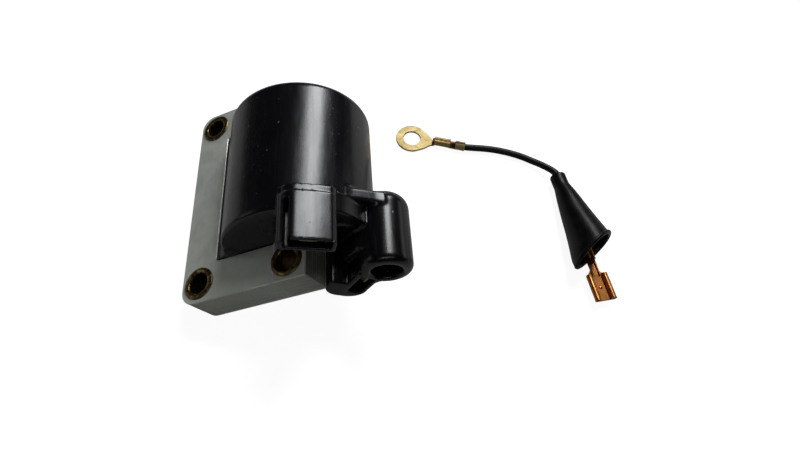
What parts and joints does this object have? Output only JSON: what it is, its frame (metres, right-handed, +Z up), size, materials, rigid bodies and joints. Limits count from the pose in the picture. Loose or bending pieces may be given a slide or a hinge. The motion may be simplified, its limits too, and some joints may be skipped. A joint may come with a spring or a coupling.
{
  "type": "ignition coil",
  "caption": "External ignition coil with laminated core, moulded body and three terminal sockets, lying beside its short low-voltage lead with ring terminal and booted receptacle.",
  "frame": {"origin": "middle of the coil's footprint on the bench, at bench height, without the lead", "axes": "+Z up from the bench; +Y along the coil's axis, away from the sockets' mouths; +X to the side where the lead lies"},
  "size_m": [0.1364, 0.076, 0.0498],
  "materials": {
    "core_steel": "dull zinc-plated silicon-steel laminations, grey-green",
    "eyelet_brass": "tarnished bronze-brown with bright rolled edges",
    "black_moulding": "glossy black moulded resin",
    "potting": "cast epoxy, dark brown-black",
    "bobbin_plastic": "natural moulded nylon",
    "copper_wire": "enamelled copper wire, close wound",
    "insulation_paper": "varnished paper",
    "polyester_tape": "yellow polyester tape",
    "tab_brass": "tinned brass strip",
    "ring_brass": "yellow brass, slightly tarnished",
    "receptacle_copper": "bright copper alloy, orange",
    "wire_rubber": "satin black insulation",
    "boot_rubber": "soft black rubber",
    "strand_copper": "bare stranded copper"
  },
  "bodies": {
    "coil": {"yoke_laminations": "core_steel", "limb_laminations": "core_steel", "mounting_eyelets": "eyelet_brass", "body_shell": "black_moulding", "potting_resin": "potting", "primary_bobbin": "bobbin_plastic", "primary_winding": "copper_wire", "layer_insulation": "insulation_paper", "secondary_bobbin": "bobbin_plastic", "secondary_winding": "copper_wire", "outer_tape": "polyester_tape", "low_voltage_tab": "tab_brass", "second_tab": "tab_brass", "high_voltage_contact": "tab_brass", "tab_wire": "copper_wire", "second_tab_wire": "copper_wire", "high_voltage_wire": "copper_wire", "secondary_earth_wire": "copper_wire"},
    "lead": {"ring_terminal": "ring_brass", "lead_wire": "wire_rubber", "lead_strands": "strand_copper", "tab_receptacle": "receptacle_copper"},
    "boot": {"rubber_boot": "boot_rubber"}
  },
  "joints": [
    {"name": "lead_lift", "type": "slide", "parent": "coil", "child": "lead", "axis": [0, 0, 1], "range_m": [0, 0.06]},
    {"name": "boot_slide", "type": "slide", "parent": "lead", "child": "boot", "axis": [0.1132, -0.9936, 0], "range_m": [0, 0.009]}
  ]
}
